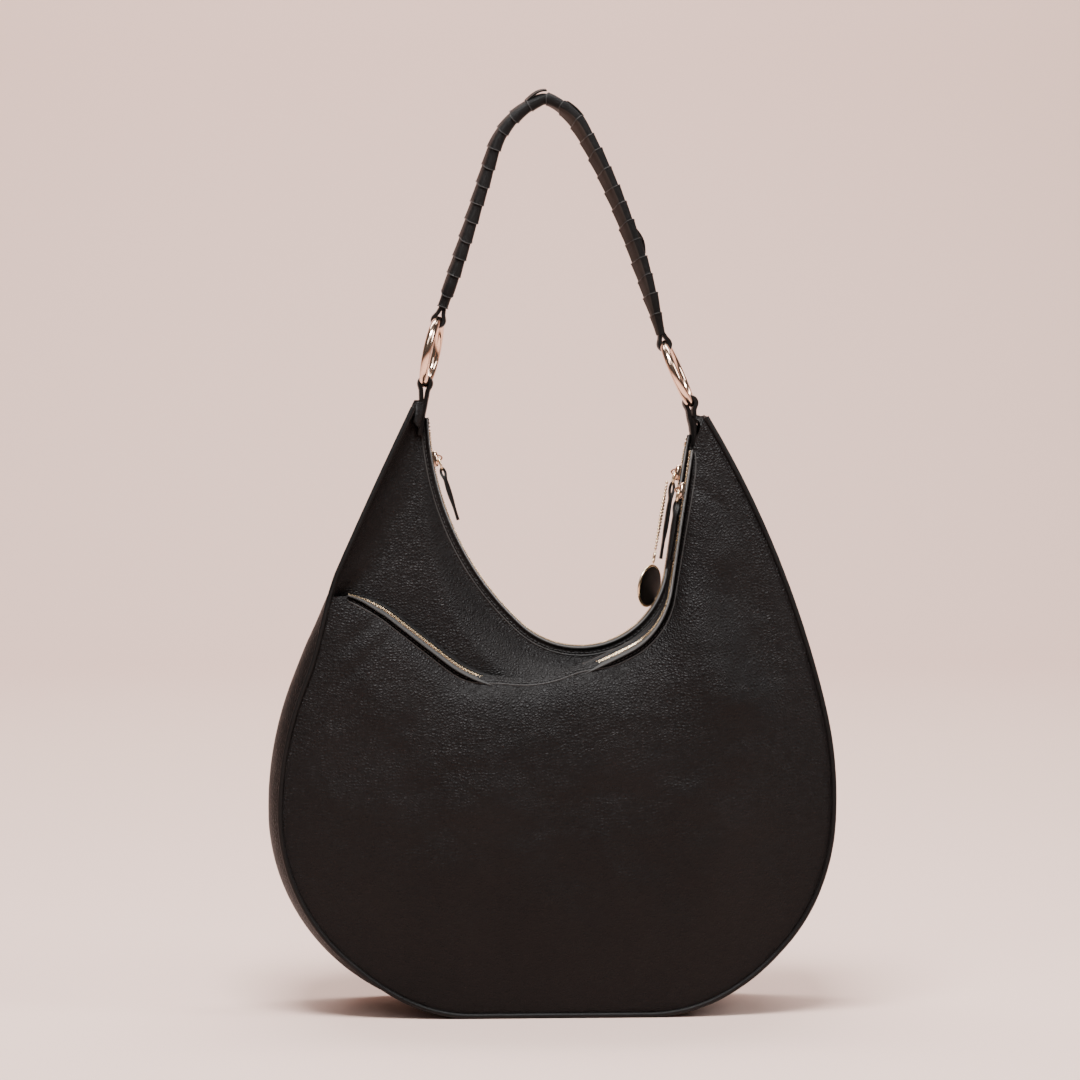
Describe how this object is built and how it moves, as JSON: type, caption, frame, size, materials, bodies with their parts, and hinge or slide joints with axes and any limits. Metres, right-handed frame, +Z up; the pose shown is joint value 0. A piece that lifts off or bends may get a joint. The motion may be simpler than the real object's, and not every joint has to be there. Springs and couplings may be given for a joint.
{
  "type": "hobo bag",
  "caption": "Slouchy pebbled-leather hobo bag with two curved zip compartments, O-rings and a lace-wrapped shoulder strap.",
  "frame": {"origin": "middle of the foot, on the surface the bag stands on", "axes": "+X to the wearer's right seen from the front, +Y to the back, +Z up"},
  "size_m": [0.391, 0.1086, 0.6288],
  "materials": {
    "panel_leather": "pebbled, satin",
    "trim_leather": "smooth, satin",
    "lace_leather": "smooth lace, satin",
    "lining_cloth": "plain weave cotton",
    "zip_tape": "herringbone tape",
    "zip_metal": "polished pale gold",
    "ring_metal": "polished rose gold"
  },
  "bodies": {
    "bag": {"front_panel": "panel_leather", "middle_panel": "panel_leather", "back_panel": "panel_leather", "gusset": "panel_leather", "front_piping": "trim_leather", "back_piping": "trim_leather", "front_lining": "lining_cloth", "rear_lining": "lining_cloth", "main_zip_tape_front": "zip_tape", "main_zip_tape_back": "zip_tape", "main_zip_teeth_front": "zip_metal", "main_zip_teeth_back": "zip_metal", "main_zip_stops": "zip_metal", "front_zip_tape_lower": "zip_tape", "front_zip_tape_upper": "zip_tape", "front_zip_teeth_lower": "zip_metal", "front_zip_teeth_upper": "zip_metal", "front_zip_stops": "zip_metal", "tab_root_left": "trim_leather", "tab_root_right": "trim_leather"},
    "handle_base": {"tab_loop_left": "trim_leather", "tab_loop_right": "trim_leather"},
    "ring_left": {"o_ring_left": "ring_metal"},
    "ring_right": {"o_ring_right": "ring_metal"},
    "strap": {"strap_core": "trim_leather", "strap_wrap": "lace_leather", "strap_loop_left": "trim_leather", "strap_loop_right": "trim_leather"},
    "slider_left": {"main_slider_left": "zip_metal"},
    "pull_left": {"main_link_left": "zip_metal", "main_puller_left": "trim_leather"},
    "slider_right": {"main_slider_right": "zip_metal"},
    "link_right": {"main_link_right": "zip_metal"},
    "puller_right": {"main_puller_right": "trim_leather"},
    "charm": {"ball_chain": "zip_metal", "tag_ring": "zip_metal", "tag_disc": "trim_leather", "tag_rim": "zip_metal"},
    "slider_front": {"front_slider": "zip_metal"},
    "link_front": {"front_link": "zip_metal"},
    "puller_front": {"front_puller": "trim_leather"}
  },
  "joints": [
    {"name": "handle_swing", "type": "hinge", "parent": "bag", "child": "handle_base", "pos_m": [0.0043, -0.001, 0.41325], "axis": [0.9973, 0, -0.0737], "range_deg": [-90, 90]},
    {"name": "ring_left_tilt", "type": "hinge", "parent": "handle_base", "child": "ring_left", "pos_m": [-0.087, -0.001, 0.4315], "axis": [0, 1, 0], "range_deg": [-12, 12]},
    {"name": "strap_pivot", "type": "hinge", "parent": "ring_left", "child": "strap", "pos_m": [-0.07785, -0.001, 0.47454], "axis": [0, 1, 0], "range_deg": [-15, 15]},
    {"name": "ring_right_tilt", "type": "hinge", "parent": "handle_base", "child": "ring_right", "pos_m": [0.0956, -0.001, 0.418], "axis": [0, 1, 0], "range_deg": [-15, 15]},
    {"name": "main_left_travel", "type": "hinge", "parent": "bag", "child": "slider_left", "pos_m": [0.115, 0.003, 0.412], "axis": [0, -1, 0], "range_deg": [0, 28]},
    {"name": "main_left_swing", "type": "hinge", "parent": "slider_left", "child": "pull_left", "pos_m": [-0.07775, 0.003, 0.37994], "axis": [0, -1, 0], "range_deg": [0, 100]},
    {"name": "main_right_travel", "type": "slide", "parent": "bag", "child": "slider_right", "axis": [-0.1564, 0, -0.9877], "range_m": [0, 0.062]},
    {"name": "main_right_swing", "type": "hinge", "parent": "slider_right", "child": "link_right", "pos_m": [0.08519, 0.003, 0.37008], "axis": [0, 1, 0], "range_deg": [0, 100]},
    {"name": "main_right_lift", "type": "hinge", "parent": "link_right", "child": "puller_right", "pos_m": [0.08388, 0.003, 0.36179], "axis": [0, 1, 0], "range_deg": [0, 40]},
    {"name": "charm_lift", "type": "hinge", "parent": "link_right", "child": "charm", "pos_m": [0.07979, 0.003, 0.36286], "axis": [0, 1, 0], "range_deg": [0, 55]},
    {"name": "front_travel", "type": "slide", "parent": "bag", "child": "slider_front", "axis": [-0.1564, -0.1375, -0.9781], "range_m": [0, 0.062]},
    {"name": "front_swing", "type": "hinge", "parent": "slider_front", "child": "link_front", "pos_m": [0.08644, -0.01483, 0.35838], "axis": [0, 0.9903, -0.1392], "range_deg": [0, 100]},
    {"name": "front_lift", "type": "hinge", "parent": "link_front", "child": "puller_front", "pos_m": [0.08513, -0.01599, 0.35016], "axis": [0, 0.9903, -0.1392], "range_deg": [0, 40]}
  ],
  "couplings": [
    {"joint": "strap_pivot", "follows": "ring_left_tilt", "ratio": -1.1962},
    {"joint": "ring_right_tilt", "follows": "ring_left_tilt", "ratio": 1.1633},
    {"joint": "main_right_lift", "follows": "main_right_travel", "rad_per_m": 11.249},
    {"joint": "charm_lift", "follows": "main_right_travel", "rad_per_m": 15.467},
    {"joint": "front_lift", "follows": "front_travel", "rad_per_m": 11.249}
  ]
}
